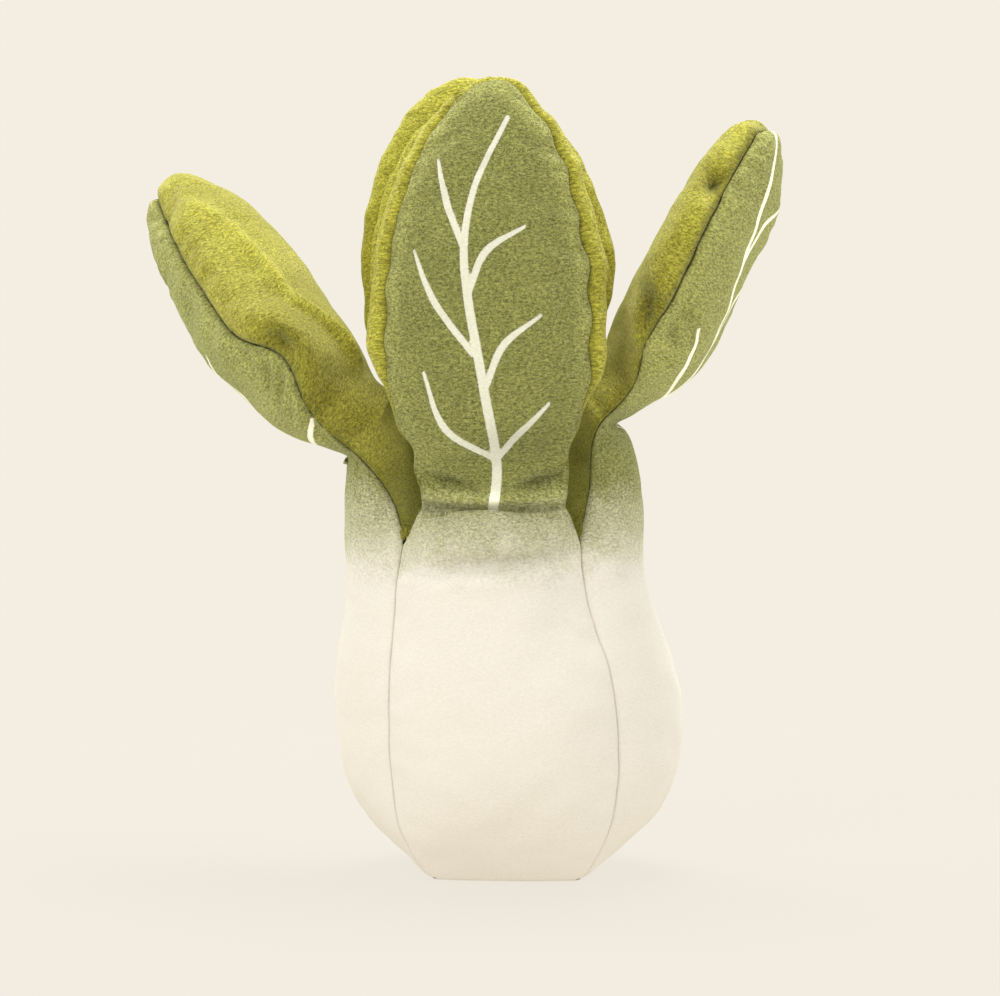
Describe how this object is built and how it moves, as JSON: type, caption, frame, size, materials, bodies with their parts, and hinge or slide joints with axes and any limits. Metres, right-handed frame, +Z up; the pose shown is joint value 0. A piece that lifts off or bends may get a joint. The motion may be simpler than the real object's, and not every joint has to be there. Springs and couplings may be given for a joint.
{
  "type": "plush bok choy toy",
  "caption": "Soft stuffed toy shaped like a bok choy: a round cream body on a flat base, with stuffed green leaves that stand up and spread at the top.",
  "frame": {"origin": "centre of the flat underside of the base, on the surface that the toy stands on", "axes": "+Z up the toy towards the leaf tips, -Y towards the upright front leaf, +X towards the right leaf"},
  "size_m": [0.1957, 0.1173, 0.238],
  "materials": {
    "printed_plush": "short-pile polyester plush, printed from cream at the base to sage green with cream veins on the leaf",
    "chartreuse_plush": "short-pile polyester plush, yellow-green",
    "sage_plush": "short-pile polyester plush, sage green",
    "cream_plush": "short-pile polyester plush, cream",
    "polyester_filling": "loose white polyester fibre",
    "pouch_cloth": "thin woven pouch holding plastic beans"
  },
  "bodies": {
    "root": {"cover_front": "printed_plush", "cover_right": "printed_plush", "cover_back": "printed_plush", "cover_left": "printed_plush", "inner_face_front": "chartreuse_plush", "inner_face_right": "chartreuse_plush", "inner_face_back": "chartreuse_plush", "inner_face_left": "chartreuse_plush", "leaf_filling_front": "polyester_filling", "leaf_filling_right": "polyester_filling", "leaf_filling_back": "polyester_filling", "leaf_filling_left": "polyester_filling", "heart_leaf_outer_face": "sage_plush", "heart_leaf_inner_face": "chartreuse_plush", "heart_leaf_filling": "polyester_filling", "body_filling": "polyester_filling", "bean_pouch": "pouch_cloth", "base_panel": "cream_plush"}
  },
  "joints": []
}
